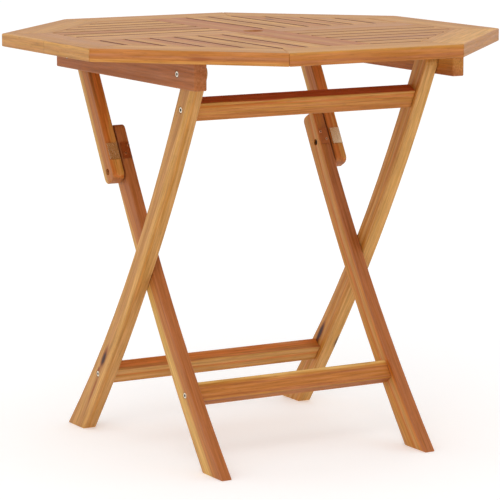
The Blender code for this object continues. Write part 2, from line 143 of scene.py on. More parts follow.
def new_material(name: str) -> tuple[bpy.types.Material, bpy.types.NodeTree, bpy.types.Node]:
    """Make a material with nodes.

    Args:
        name: the material's name.

    Returns:
        The material, its node tree and its Principled shader.
    """
    made = bpy.data.materials.new(name)
    made.use_nodes = True
    return made, made.node_tree, made.node_tree.nodes["Principled BSDF"]


@dataclass(frozen=True)
class Knot:
    """A dark spot or streak in a board.

    Y, z and x are its place on the table, and length and width its half sizes, in millimetres.
    Without x it lies where the board's middle does. Depth is its place through the thickness, from
    the middle; without it the knot goes right through.
    """

    y: float
    z: float
    length: float
    width: float
    tone: Tone
    strength: float
    depth: float | None = None
    x: float | None = None


@dataclass(frozen=True)
class Board:
    """How one piece of wood was cut: where it lies, how its grain runs and the bands that cross it.

    Middle is in metres, all other sizes in millimetres. Bands are (place, tone) pairs, a place
    being -1 to 1 over the reach. Tilt, in degrees, turns the bands from the broad side toward the
    thickness, wander is how far they waver, skew slants them along the grain, and bow is how far
    the middle line of a curved piece rises over half its length. Runout is for a curved piece sawn
    from a straight plank, whose bands shift toward its back edge: by nothing a quarter of the way
    up, by a quarter of the runout at the lower end and in the middle, and by 2.25 times it at the
    upper end. A joint is the place along the grain where two lengths meet, and side the tone of
    painted shade on the narrow sides, if they get any.
    """

    middle: Vector
    grain: Vector
    across: Vector
    bands: Bands
    seed: int
    reach: float
    tilt: float
    wander: float
    skew: float = 0.0
    bow: float = 0.0
    runout: float = 0.0
    half_length: float = 400.0
    knots: tuple[Knot, ...] = ()
    joint: float | None = None
    joint_shift: float = 4.0
    side: Tone | None = None

    def spot(self, knot: Knot) -> Pair:
        """Return where a knot lies in the board, along its grain and across it, in millimetres."""
        x = self.middle.x if knot.x is None else knot.x * MM
        away = (Vector((x, knot.y * MM, knot.z * MM)) - self.middle) / MM
        along, across = away.dot(self.grain), away.dot(self.across)
        return along, across - self.bow * (1 - (along / self.half_length) ** 2)


@dataclass(frozen=True)
class OiledWood:
    """Oiled acacia, planed and sanded.

    A pattern is its size along the grain and across it, in millimetres, and its number of finer
    layers. The seam and the fray are in millimetres too, the relief in metres.
    """

    # The real wood is a ring of straw-coloured sapwood round reddish-brown heartwood, sawn into
    # boards that each cut the rings at another angle. The eye gets slow colour bands along every
    # board that carry on over its edges (the ramp), a waver where the trunk wasn't straight
    # (waver), frayed streaks of lighter and darker rings (streak), fine silky fibre (fibre) and
    # short dark pore lines (pore). The oil closes the surface, so there's a broad satin sheen,
    # duller on the fibres' valleys, and almost no relief. Real fibres and pores are 0.05 to 0.3 mm
    # wide. They are drawn coarser, 1 to 2 mm, because at the photo's 1.7 to 2 mm to the pixel the
    # true size would be only noise. A knot is a dark lens in the grain with a frayed edge, simpler
    # than a real one.

    waver: Triple = (230.0, 34.0, 2.0)
    streak: Triple = (120.0, 4.6, 3.0)
    fibre: Triple = (44.0, 1.9, 3.0)
    pore: Triple = (14.0, 1.1, 1.0)
    noise_roughness: float = 0.55
    seed_step: Triple = (37.0, 23.0, 11.0)
    streak_depth: float = 0.90
    fibre_depth: float = 0.70
    pore_depth: float = 0.20
    pore_edge: Pair = (0.60, 0.74)
    saturation: float = 1.10
    streak_saturation: float = -0.2
    seam: float = 0.6
    seam_depth: float = 0.45
    fray: float = 5.0
    knot_fray: float = 0.7
    knot_edge: Pair = (1.15, 0.45)
    # the painted shade on the narrow sides fades in as the surface turns toward the across direction,
    # from 0.56 to 0.68 of full
    side_shade_edge: Pair = (0.56, 0.68)
    ior: float = 1.42
    sheen: Pair = (0.50, 0.66)
    relief: float = 0.00035
    relief_strength: float = 0.35
    relief_parts: Triple = (0.6, 0.4, -0.5)

    def _noise(self, tree: bpy.types.NodeTree, place: bpy.types.NodeSocket,
               pattern: Triple) -> bpy.types.NodeSocket:
        """Add noise drawn out along the grain.

        Args:
            tree: the material's node tree.
            place: the place in the board, in millimetres.
            pattern: the size of its spots along and across the grain, and its finer layers.

        Returns:
            The noise, about 0.5 on average.
        """
        long, wide, detail = pattern
        scale = (1 / long, 1 / wide, 1 / wide)
        drawn = add_node(tree, "ShaderNodeVectorMath", {0: place, 1: scale}, operation="MULTIPLY")
        noise = add_node(tree, "ShaderNodeTexNoise",
                         {"Vector": drawn.outputs[0], "Scale": 1.0, "Detail": detail,
                          "Roughness": self.noise_roughness})
        return noise.outputs[0]

    def _sum(self, tree: bpy.types.NodeTree, start: float,
             terms: tuple[tuple[bpy.types.NodeSocket, float], ...]) -> bpy.types.NodeSocket:
        """Add up a number and some sockets, each with its own weight.

        Args:
            tree: the material's node tree.
            start: the number.
            terms: the sockets and their weights.

        Returns:
            The sum.
        """
        total: float | bpy.types.NodeSocket = start
        for socket, weight in terms:
            step = add_node(tree, "ShaderNodeMath", {0: socket, 1: weight, 2: total},
                            operation="MULTIPLY_ADD")
            total = step.outputs[0]
        return total

    def _knot(self, tree: bpy.types.NodeTree, knot: Knot, colour: bpy.types.NodeSocket,
              place: tuple[bpy.types.NodeSocket, bpy.types.NodeSocket, bpy.types.NodeSocket],
              rough: bpy.types.NodeSocket, spot: Pair) -> bpy.types.NodeSocket:
        """Lay one knot over the colour.

        Args:
            tree: the material's node tree.
            knot: its size and tone.
            colour: the colour so far.
            place: the place along the grain, across it and through the board.
            rough: noise that frays the knot's edge.
            spot: the knot's place along and across the grain.

        Returns:
            The colour with the knot.
        """
        along, across, through = place
        u = add_node(tree, "ShaderNodeMath",
                     {0: along, 1: 1 / knot.length, 2: -spot[0] / knot.length},
                     operation="MULTIPLY_ADD")
        v = add_node(tree, "ShaderNodeMath",
                     {0: across, 1: 1 / knot.width, 2: -spot[1] / knot.width},
                     operation="MULTIPLY_ADD")
        flat = add_node(tree, "ShaderNodeCombineXYZ", {0: u.outputs[0], 1: v.outputs[0]})
        if knot.depth is not None:
            w = add_node(tree, "ShaderNodeMath",
                         {0: through, 1: 1 / knot.width, 2: -knot.depth / knot.width},
                         operation="MULTIPLY_ADD")
            tree.links.new(w.outputs[0], flat.inputs[2])
        far = add_node(tree, "ShaderNodeVectorMath", {0: flat.outputs[0]}, operation="LENGTH")
        frayed = self._sum(tree, -self.knot_fray / 2,
                           ((rough, self.knot_fray), (far.outputs["Value"], 1.0)))
        inside = add_node(tree, "ShaderNodeMapRange",
                          {0: frayed, 1: self.knot_edge[0], 2: self.knot_edge[1], 3: 0.0,
                           4: knot.strength},
                          interpolation_type="SMOOTHSTEP")
        mixed = add_node(tree, "ShaderNodeMix",
                         {0: inside.outputs[0], 6: colour, 7: linear(knot.tone.value)},
                         data_type="RGBA")
        return mixed.outputs[2]

    def material(self, name: str, board: Board) -> bpy.types.Material:
        """Make the finish of one board.

        Args:
            name: the material's name.
            board: how the board was cut.

        Returns:
            The material.
        """
        made, tree, shader = new_material(name)
        axes = Matrix((board.grain, board.across, board.grain.cross(board.across))).transposed()
        where = add_node(tree, "ShaderNodeTexCoord")
        local = add_node(tree, "ShaderNodeMapping",
                         {"Vector": where.outputs["Object"], "Location": board.middle,
                          "Rotation": axes.to_euler("XYZ"), "Scale": (MM, MM, MM)},
                         vector_type="TEXTURE")
        split = add_node(tree, "ShaderNodeSeparateXYZ", {0: local.outputs[0]})
        along, across, through = split.outputs
        if board.bow:
            square = add_node(tree, "ShaderNodeMath", {0: along, 1: along}, operation="MULTIPLY")
            weight = board.bow / board.half_length ** 2
            across = self._sum(tree, -board.bow, ((square.outputs[0], weight), (across, 1.0)))
        shift = tuple(step * board.seed for step in self.seed_step)
        bent = add_node(tree, "ShaderNodeCombineXYZ", {0: along, 1: across, 2: through})
        place = add_node(tree, "ShaderNodeVectorMath", {0: bent.outputs[0], 1: shift},
                         operation="ADD").outputs[0]
        waver, streak, fibre, pore = (self._noise(tree, place, pattern) for pattern in
                                      (self.waver, self.streak, self.fibre, self.pore))
        tilt = math.radians(board.tilt)
        span = 2 * board.reach
        terms = [(across, math.cos(tilt) / span), (through, math.sin(tilt) / span),
                 (along, board.skew / span), (waver, 2 * board.wander / span),
                 (streak, 2 * self.fray / span)]
        if board.joint is not None:
            past = add_node(tree, "ShaderNodeMath", {0: along, 1: board.joint},
                            operation="GREATER_THAN")
            terms.append((past.outputs[0], board.joint_shift / span))
        if board.runout:
            rise = add_node(tree, "ShaderNodeMath", {0: along, 1: board.half_length / 2},
                            operation="ADD").outputs[0]
            run = add_node(tree, "ShaderNodeMath", {0: rise, 1: rise}, operation="MULTIPLY")
            terms.append((run.outputs[0], board.runout / board.half_length ** 2 / span))
        ring = self._sum(tree, 0.5 - (board.wander + self.fray) / span, tuple(terms))
        ramp = add_node(tree, "ShaderNodeValToRGB", {0: ring})
        stops = ramp.color_ramp.elements
        stops.remove(stops[-1])
        for number, (spot, tone) in enumerate(board.bands):
            stop = stops[0] if number == 0 else stops.new(0.5 + spot / 2)
            stop.position = 0.5 + spot / 2
            stop.color = linear(tone.value)
        pores = add_node(tree, "ShaderNodeMapRange",
                         {0: pore, 1: self.pore_edge[0], 2: self.pore_edge[1]},
                         interpolation_type="SMOOTHSTEP").outputs[0]
        shades = [(streak, self.streak_depth), (fibre, self.fibre_depth), (pores, -self.pore_depth)]
        if board.joint is not None:
            seam = add_node(tree, "ShaderNodeMath", {0: along, 1: board.joint, 2: self.seam},
                            operation="COMPARE")
            shades.append((seam.outputs[0], -self.seam_depth))
        light = self._sum(tree, 1.0 - self.streak_depth / 2 - self.fibre_depth / 2, tuple(shades))
        strong = self._sum(tree, self.saturation, ((streak, self.streak_saturation),))
        toned = add_node(tree, "ShaderNodeHueSaturation",
                         {"Saturation": strong, "Value": light, "Color": ramp.outputs[0]})
        colour = toned.outputs[0]
        for knot in board.knots:
            colour = self._knot(tree, knot, colour, (along, across, through), fibre,
                                board.spot(knot))
        # Painted shade: faces that turn toward the across direction, the slats' narrow sides at the
        # gaps, are mixed toward the side tone to stand in for the shade between the boards.
        if board.side:
            facing = add_node(tree, "ShaderNodeVectorMath",
                              {0: where.outputs["Normal"], 1: board.across},
                              operation="DOT_PRODUCT")
            flat = add_node(tree, "ShaderNodeMath", {0: facing.outputs["Value"]},
                            operation="ABSOLUTE")
            edge = add_node(tree, "ShaderNodeMapRange",
                            {0: flat.outputs[0], 1: self.side_shade_edge[0], 2: self.side_shade_edge[1]})
            mixed = add_node(tree, "ShaderNodeMix",
                             {0: edge.outputs[0], 6: colour, 7: linear(board.side.value)},
                             data_type="RGBA")
            colour = mixed.outputs[2]
        rough = add_node(tree, "ShaderNodeMapRange",
                         {0: fibre, 1: NOISE_LOW, 2: NOISE_HIGH, 3: self.sheen[0],
                          4: self.sheen[1]})
        height = self._sum(tree, 0.0, tuple(zip((fibre, streak, pores), self.relief_parts)))
        bump = add_node(tree, "ShaderNodeBump",
                        {"Strength": self.relief_strength, "Distance": self.relief,
                         "Height": height})
        shader.inputs["IOR"].default_value = self.ior
        tree.links.new(colour, shader.inputs["Base Color"])
        tree.links.new(rough.outputs[0], shader.inputs["Roughness"])
        tree.links.new(bump.outputs[0], shader.inputs["Normal"])
        return made


@dataclass(frozen=True)
class Steel:
    """Mild steel with a plated or rolled surface. All sizes are in millimetres."""

    # Zinc plating with a clear passivation is a pale, faintly yellow metal whose fine crystals make
    # soft clouds in the reflection (a noise in roughness and tone, drawn 1.5 mm wide where the real
    # crystals are under 0.5 mm). Cold rolled sheet is smoother and mirrors its surroundings, drawn
    # out along the rolling lines (a long narrow noise, 0.6 mm where the real lines are finer
    # still). The bronzed sheet and screws have a thin copper-brown skin, which tints what they
    # mirror. The drive sockets and the gap round a bolt head are given painted shade: a near-black
    # colour stands in for the shadow that falls in them.

    colour: Metal
    roughness: Pair
    spot: Triple
    cloud_detail: float = 3.0
    tint: Pair = (0.9, 1.05)
    # where the painted shade in a bolt head's socket and round its rim begins and where it is full
    socket_shade: Pair = (0.8, 1.2)
    rim_shade: Pair = (1.2, 0.9)
    relief: float = 0.02
    relief_strength: float = 0.04

    def material(self, name: str, head: tuple[Vector, float] | None = None) -> bpy.types.Material:
        """Make the finish.

        Args:
            name: the material's name.
            head: the middle of a bolt head's outer face and the head's radius, in metres, if the
                socket and the rim of the head are to get painted shade.

        Returns:
            The material.
        """
        made, tree, shader = new_material(name)
        where = add_node(tree, "ShaderNodeTexCoord")
        scale = tuple(1 / (size * MM) for size in self.spot)
        drawn = add_node(tree, "ShaderNodeVectorMath", {0: where.outputs["Object"], 1: scale},
                         operation="MULTIPLY")
        cloud = add_node(tree, "ShaderNodeTexNoise",
                         {"Vector": drawn.outputs[0], "Scale": 1.0, "Detail": self.cloud_detail})
        rough, tint = (add_node(tree, "ShaderNodeMapRange",
                                {0: cloud.outputs[0], 1: NOISE_LOW, 2: NOISE_HIGH, 3: low, 4: high})
                       for low, high in (self.roughness, self.tint))
        toned = add_node(tree, "ShaderNodeHueSaturation",
                         {"Value": tint.outputs[0], "Color": linear(self.colour.value)})
        colour = toned.outputs[0]
        # Painted shade: deep in the socket and at the head's rim the colour goes to near-black,
        # standing in for the shadow in the socket and in the gap round the head.
        if head:
            face, radius = head
            away = add_node(tree, "ShaderNodeVectorMath", {0: where.outputs["Object"], 1: face},
                            operation="SUBTRACT")
            inward = add_node(tree, "ShaderNodeVectorMath",
                              {0: away.outputs[0], 1: (-math.copysign(1, face.x), 0, 0)},
                              operation="DOT_PRODUCT")
            flat = add_node(tree, "ShaderNodeVectorMath", {0: away.outputs[0], 1: (0, 1, 1)},
                            operation="MULTIPLY")
            far = add_node(tree, "ShaderNodeVectorMath", {0: flat.outputs[0]}, operation="LENGTH")
            deep = add_node(tree, "ShaderNodeMapRange",
                            {0: inward.outputs["Value"], 1: self.socket_shade[0] * MM,
                             2: self.socket_shade[1] * MM})
            rim = add_node(tree, "ShaderNodeMapRange",
                           {0: far.outputs["Value"], 1: radius - self.rim_shade[0] * MM,
                            2: radius - self.rim_shade[1] * MM})
            painted_shade = add_node(tree, "ShaderNodeMath", {0: deep.outputs[0], 1: rim.outputs[0]},
                            operation="MAXIMUM")
            mixed = add_node(tree, "ShaderNodeMix",
                             {0: painted_shade.outputs[0], 6: colour, 7: linear(Metal.BLACKENED.value)},
                             data_type="RGBA")
            colour = mixed.outputs[2]
        bump = add_node(tree, "ShaderNodeBump",
                        {"Strength": self.relief_strength, "Distance": self.relief * MM,
                         "Height": cloud.outputs[0]})
        shader.inputs["Metallic"].default_value = 1.0
        tree.links.new(colour, shader.inputs["Base Color"])
        tree.links.new(rough.outputs[0], shader.inputs["Roughness"])
        tree.links.new(bump.outputs[0], shader.inputs["Normal"])
        return made


ZINC_PLATED = Steel(Metal.ZINC, (0.22, 0.38), (1.5, 1.5, 1.5))
ROLLED_SHEET = Steel(Metal.ROLLED, (0.18, 0.28), (0.6, 9.0, 9.0))
BRONZED_SHEET = Steel(Metal.BRONZED, (0.30, 0.42), (0.6, 9.0, 9.0))
BRONZED_SCREW = Steel(Metal.COPPERED, (0.25, 0.35), (1.5, 1.5, 1.5))
# painted shade: a near-black steel for the knee bolts, which sit in the shade of their deep holes,
# and for the faces inside the screw sockets
PAINTED_SHADE_STEEL = Steel(Metal.BLACKENED, (0.45, 0.60), (1.5, 1.5, 1.5))


def dress(node: str, material: bpy.types.Material) -> None:
    """Give a carried node one material in all its slots.

    Args:
        node: the node's name.
        material: the finish.
    """
    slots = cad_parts[node].material_slots
    for slot in slots:
        slot.material = material


def middle_of(node: str) -> Vector:
    """Return the middle of a node's box, in metres."""
    low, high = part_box(node)
    return (low + high) / 2


def lean_of(node: str, length: float, thickness: float) -> float:
    """Return how far a plank that lies along a leg leans from the vertical, from its box.

    Args:
        node: the node's name.
        length: the plank's size up the leg, in millimetres.
        thickness: its size across the leg, in millimetres.

    Returns:
        The angle in radians, without its sign.
    """
    low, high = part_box(node)
    size = (high - low) / MM
    return math.asin((length * size.y - thickness * size.z) / (length ** 2 - thickness ** 2))


def quarter_of(node: str) -> str:
    """Return the quarter of the top that a slat lies in, from its name."""
    return "_".join(node.split("_")[1:3])


@dataclass
class Top:
    """The octagonal top: its rim, its cross boards, its slats and the two aprons under it."""

    wood: OiledWood = field(default_factory=OiledWood)
    rim_names: tuple[str, ...] = ("right", "back_right", "back", "back_left", "left", "front_left",
                                  "front", "front_right")
    plain: tuple[Tone, ...] = (Tone.TAN, Tone.BISCUIT, Tone.STRAW, Tone.HONEY, Tone.TAN, Tone.ROSE)
    rim_knots: tuple[Knot, ...] = (
        Knot(-315.0, 0.0, 26, 3.2, Tone.CHESTNUT, 0.8, depth=-2.5, x=-286.0),
        Knot(-308.0, 0.0, 14, 2.4, Tone.COPPER, 0.7, depth=4.5, x=-293.0))
    slat_knot: Knot = Knot(225.0, 0.0, 17, 8.0, Tone.INK, 0.9)
    slat_knot_x: float = 152.0
    rim_reach: float = 52.0
    rim_tilt: float = -60.0
    corner: float = -0.19
    corner_blend: float = 0.02
    flat_step: float = 0.3
    edge_step: float = 0.085
    board_reach: float = 60.0
    board_tilt: float = 35.0
    board_wander: Pair = (5.0, 11.0)

    def _flat(self, node: str, grain: Vector, seed: int) -> Board:
        """Return a board of the top with quiet bands of its own.

        Args:
            node: the node's name.
            grain: the way its grain runs.
            seed: the number that its pattern starts from.

        Returns:
            The board.
        """
        pick = random.Random(seed)
        main, other = pick.choice(self.plain), pick.choice(self.plain)
        tones = [main, Tone.TAN, main, other, main, Tone.TAN, other, main, Tone.BISCUIT, main]
        half = (len(tones) - 1) / 2
        bands = tuple((-1 + number / half, tone) for number, tone in enumerate(tones))
        return Board(middle_of(node), grain, UP.cross(grain), bands, seed, reach=self.board_reach,
                     tilt=pick.uniform(-self.board_tilt, self.board_tilt),
                     wander=pick.uniform(*self.board_wander))

    def _rim(self, side: str, angle: float, seed: int) -> Board:
        """Return a rim board, its bands starting on its top face and going on round its outer edge.

        Args:
            side: which rim board it is.
            angle: the way that it faces, in radians.
            seed: the number that its pattern starts from.

        Returns:
            The board.
        """
        top = {
            "left": (Tone.TAN, Tone.BISCUIT, Tone.TAN),
            "front_left": (Tone.TAN, Tone.HONEY, Tone.TAN),
            "front": (Tone.HONEY, Tone.TAN, Tone.HONEY),
            "front_right": (Tone.TAN, Tone.HONEY, Tone.STRAW),
        }
        edge = {
            "left": (Tone.STRAW, Tone.HONEY, Tone.TAN, Tone.HONEY, Tone.TAN),
            "front_left": (Tone.AMBER, Tone.AMBER, Tone.ROSE, Tone.AMBER, Tone.GOLD),
            "front": (Tone.GOLD, Tone.AMBER, Tone.AMBER, Tone.COPPER, Tone.AMBER),
            "front_right": (Tone.BISCUIT, Tone.TAN, Tone.BISCUIT, Tone.TAN, Tone.BISCUIT),
        }
        flat = top.get(side, (Tone.TAN, Tone.HONEY, Tone.TAN))
        round_it = edge.get(side, (Tone.HONEY, Tone.AMBER, Tone.HONEY, Tone.AMBER, Tone.HONEY))
        bands = [(-1 + number * self.flat_step, tone) for number, tone in enumerate(flat)]
        bands += [(self.corner - self.corner_blend, flat[-1])]
        bands += [(self.corner + self.corner_blend + number * self.edge_step, tone)
                  for number, tone in enumerate(round_it)]
        out = Vector((math.cos(angle), math.sin(angle), 0.0))
        grain = Vector((math.sin(angle), -math.cos(angle), 0.0))
        low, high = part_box("rim_board_right")
        middle = out * high.x + UP * (low.z + high.z) / 2
        return Board(middle, grain, out, tuple(bands), seed, reach=self.rim_reach,
                     tilt=self.rim_tilt, wander=1.6)

    def dress_rim(self) -> None:
        """Dress the eight rim boards; the left one is joined lengthwise from two pieces."""
        for index, side in enumerate(self.rim_names):
            node = f"rim_board_{side}"
            board = self._rim(side, index * math.pi / 4, RIM_SEED + index)
            if side == "left":
                board = replace(board, joint=0.0)
            if side == "front_left":
                board = replace(board, knots=self.rim_knots)
            dress(node, self.wood.material(f"wood_{node}", board))
        log.info("rim: %d boards", len(self.rim_names))

    def dress_boards(self) -> None:
        """Dress the cross boards and the slats, whose narrow sides get painted shade for the gaps."""
        along_y, along_x = Vector((0, 1, 0)), Vector((1, 0, 0))
        pieces = {"cross_board_long": along_y, "cross_board_left": along_x,
                  "cross_board_right": along_x}
        for quarter, grain in (("front_left", along_y), ("front_right", along_x),
                               ("back_right", along_y), ("back_left", along_x)):
            for number in range(1, SLATS_IN_QUARTER + 1):
                pieces[f"slat_{quarter}_{number}"] = grain
        for seed, (node, grain) in enumerate(pieces.items()):
            board = self._flat(node, grain, FLAT_SEED + seed)
            if node.startswith("slat"):
                # painted shade on the slats' narrow sides, where they face the gaps
                board = replace(board, side=Tone.SOOT)
            low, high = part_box(node)
            if quarter_of(node) == "back_right" and low.x < self.slat_knot_x * MM < high.x:
                board = replace(board, knots=(self.slat_knot,))
            dress(node, self.wood.material(f"wood_{node}", board))
        log.info("top boards: %d", len(pieces))

    def dress_aprons(self) -> None:
        """Dress the aprons, of a redder wood."""
        bands = {
            "left": ((-1, Tone.ROSE), (-0.7, Tone.COPPER), (-0.3, Tone.ROSE), (0.1, Tone.COPPER),
                     (0.5, Tone.ROSE), (1, Tone.COPPER)),
            "right": ((-1, Tone.COPPER), (-0.5, Tone.AMBER), (0.0, Tone.GOLD), (0.4, Tone.AMBER),
                      (1, Tone.COPPER)),
        }
        for number, side in enumerate(SIDES):
            node = f"apron_{side}"
            board = Board(middle_of(node), Vector((0, 1, 0)), UP.copy(), bands[side],
                          APRON_SEED + number, reach=27.0, tilt=15.0, wander=3.0)
            dress(node, self.wood.material(f"wood_{node}", board))
            log.info("apron: %s", side)

    def build(self) -> None:
        """Dress every wooden piece of the top."""
        self.dress_rim()
        self.dress_boards()
        self.dress_aprons()


@dataclass
class Legs:
    """The outer and inner legs, their rails and the struts.

    A leg's two ends are (y, z) points in metres. Its bow and the rails' height and thickness are in
    millimetres.
    """

    wood: OiledWood = field(default_factory=OiledWood)
    rail: Pair = (36.0, 24.5)
    outer_foot: Pair = (0.2419, 0.0)
    outer_head: Pair = (-0.2150, 0.7120)
    outer_bow: float = 19.0
    inner_foot: Pair = (-0.2432, 0.0)
    inner_head: Pair = (0.1400, 0.5800)
    inner_bow: float = -24.0
    strut_foot: Pair = (0.0885, 0.4868)
    strut_head: Pair = (0.2220, 0.7267)

    def _between(self, node: str, foot: Pair, head: Pair, bands: Bands, seed: int,
                 **more: object) -> Board:
        """Return the board of a piece that runs from one end up to the other.

        Args:
            node: the node's name.
            foot: its lower end.
            head: its upper end.
            bands: its colour bands, from the back to the front.
            seed: the number that its pattern starts from.
            more: the board's other values.

        Returns:
            The board.
        """
        low, high = Vector((0, *foot)), Vector((0, *head))
        grain = (high - low).normalized()
        middle = (low + high) / 2
        middle.x = middle_of(node).x
        half = (high - low).length / 2 / MM
        return Board(middle, grain, Vector((0, -grain.z, grain.y)), bands, seed,
                     half_length=half, **more)

    def dress_outer_legs(self) -> None:
        """Dress the outer legs: golden, with a long knot above the lower rail."""
        bands = {
            "left": ((-1, Tone.TAN), (-0.6, Tone.HONEY), (-0.35, Tone.HONEY), (-0.1, Tone.TAN),
                     (0.1, Tone.TAN), (0.28, Tone.HONEY), (0.46, Tone.STRAW), (0.62, Tone.STRAW),
                     (0.72, Tone.HONEY), (0.82, Tone.GOLD), (0.9, Tone.HONEY), (1, Tone.HONEY)),
            "right": ((-1, Tone.STRAW), (-0.75, Tone.GOLD), (-0.4, Tone.HONEY), (-0.22, Tone.AMBER),
                      (-0.1, Tone.GOLD), (0.12, Tone.HONEY), (0.28, Tone.AMBER), (0.38, Tone.GOLD),
                      (0.54, Tone.GOLD), (0.66, Tone.HONEY), (0.85, Tone.STRAW), (1, Tone.STRAW)),
        }
        knots = {
            "left": (Knot(119.5, 154.0, 34, 8.5, Tone.RUSSET, 0.75),
                     Knot(121.0, 151.0, 20, 5.4, Tone.INK, 1.0),
                     Knot(143.0, 126.5, 10, 3.4, Tone.RUSSET, 0.85),
                     Knot(166.0, 84.0, 44, 3.2, Tone.CHESTNUT, 0.85)),
            "right": (Knot(128.0, 153.0, 36, 8.5, Tone.RUSSET, 0.8),
                      Knot(128.0, 153.0, 25, 5.2, Tone.INK, 1.0),
                      Knot(110.0, 140.0, 26, 9.0, Tone.INK, 1.0, depth=13.0)),
        }
        for number, side in enumerate(SIDES):
            node = f"outer_leg_{side}"
            board = self._between(node, self.outer_foot, self.outer_head, bands[side],
                                  OUTER_LEG_SEED + number, reach=24.0, tilt=28.0, wander=2.4,
                                  skew=0.006, bow=self.outer_bow, knots=knots[side])
            dress(node, self.wood.material(f"wood_{node}", board))
            log.info("outer leg: %s", side)

    def dress_inner_legs(self) -> None:
        """Dress the inner legs; the left one's sapwood runs off its back above the crossing."""
        bands = {
            "left": ((-1, Tone.HONEY), (-0.7, Tone.STRAW), (-0.45, Tone.SAPWOOD),
                     (0.02, Tone.STRAW), (0.14, Tone.HONEY), (0.24, Tone.ROSE), (0.5, Tone.AMBER),
                     (0.7, Tone.ROSE), (0.8, Tone.AMBER), (0.9, Tone.COPPER), (1, Tone.COPPER)),
            "right": ((-1, Tone.TAN), (-0.65, Tone.GOLD), (-0.3, Tone.GOLD), (-0.05, Tone.ORANGE),
                      (0.2, Tone.HONEY), (0.55, Tone.GOLD), (0.74, Tone.ORANGE), (0.80, Tone.AMBER),
                      (0.92, Tone.COPPER), (1, Tone.COPPER)),
        }
        runout = {"left": 14.0, "right": 0.0}
        for number, side in enumerate(SIDES):
            node = f"inner_leg_{side}"
            board = self._between(node, self.inner_foot, self.inner_head, bands[side],
                                  INNER_LEG_SEED + number, reach=23.0, tilt=12.0, wander=2.4,
                                  bow=self.inner_bow, runout=runout[side])
            dress(node, self.wood.material(f"wood_{node}", board))
            log.info("inner leg: %s", side)

    def dress_struts(self) -> None:
        """Dress the struts, with a sapwood strip along the back."""
        bands = ((-1, Tone.SAPWOOD), (-0.6, Tone.STRAW), (-0.42, Tone.HONEY), (-0.25, Tone.ROSE),
                 (0.05, Tone.AMBER), (0.50, Tone.ROSE), (0.72, Tone.ROSE), (0.80, Tone.AMBER),
                 (0.86, Tone.ORANGE), (0.95, Tone.ORANGE), (1, Tone.GOLD))
        for number, side in enumerate(SIDES):
            node = f"strut_{side}"
            board = self._between(node, self.strut_foot, self.strut_head, bands,
                                  STRUT_SEED + number, reach=20.0, tilt=10.0, wander=1.6,
                                  skew=-0.013)
            dress(node, self.wood.material(f"wood_{node}", board))
            log.info("strut: %s", side)

    def dress_rails(self) -> None:
        """Dress the three rails, each banded from its lower edge up its front and over its top."""
        plans = {
            "outer_upper_rail": (LEFT, ((-1, Tone.HONEY), (-0.8, Tone.AMBER), (-0.45, Tone.AMBER),
                                        (-0.25, Tone.GOLD), (-0.1, Tone.AMBER), (0.05, Tone.GOLD),
                                        (0.2, Tone.ORANGE), (0.36, Tone.GOLD), (0.47, Tone.STRAW),
                                        (0.51, Tone.GOLD), (0.56, Tone.BURNT), (1, Tone.BURNT))),
            "outer_lower_rail": (LEFT, ((-1, Tone.ROSE), (-0.7, Tone.GOLD), (-0.45, Tone.HONEY),
                                        (-0.2, Tone.GOLD), (-0.06, Tone.ORANGE), (0.1, Tone.STRAW),
                                        (0.3, Tone.HONEY), (0.48, Tone.STRAW), (0.54, Tone.COPPER),
                                        (0.60, Tone.AMBER), (0.70, Tone.ORANGE),
                                        (0.80, Tone.ORANGE), (0.92, Tone.TAN), (1, Tone.TAN))),
            "inner_rail": (RIGHT, ((-1, Tone.STRAW), (-0.88, Tone.GOLD), (-0.76, Tone.COPPER),
                                   (-0.6, Tone.AMBER), (-0.2, Tone.AMBER), (-0.06, Tone.AMBER),
                                   (0.03, Tone.COPPER), (0.12, Tone.AMBER), (0.26, Tone.GOLD),
                                   (0.38, Tone.STRAW), (0.5, Tone.SAPWOOD), (1, Tone.SAPWOOD))),
        }
        for number, (node, (way, bands)) in enumerate(plans.items()):
            lean = way * lean_of(node, *self.rail)
            across = Vector((0, math.sin(lean), math.cos(lean)))
            board = Board(middle_of(node), Vector((1, 0, 0)), across, bands, RAIL_SEED + number,
                          reach=24.0, tilt=-20.0, wander=1.6)
            dress(node, self.wood.material(f"wood_{node}", board))
            log.info("rail: %s", node)

    def build(self) -> None:
        """Dress every wooden piece of the legs."""
        self.dress_outer_legs()
        self.dress_inner_legs()
        self.dress_struts()
        self.dress_rails()


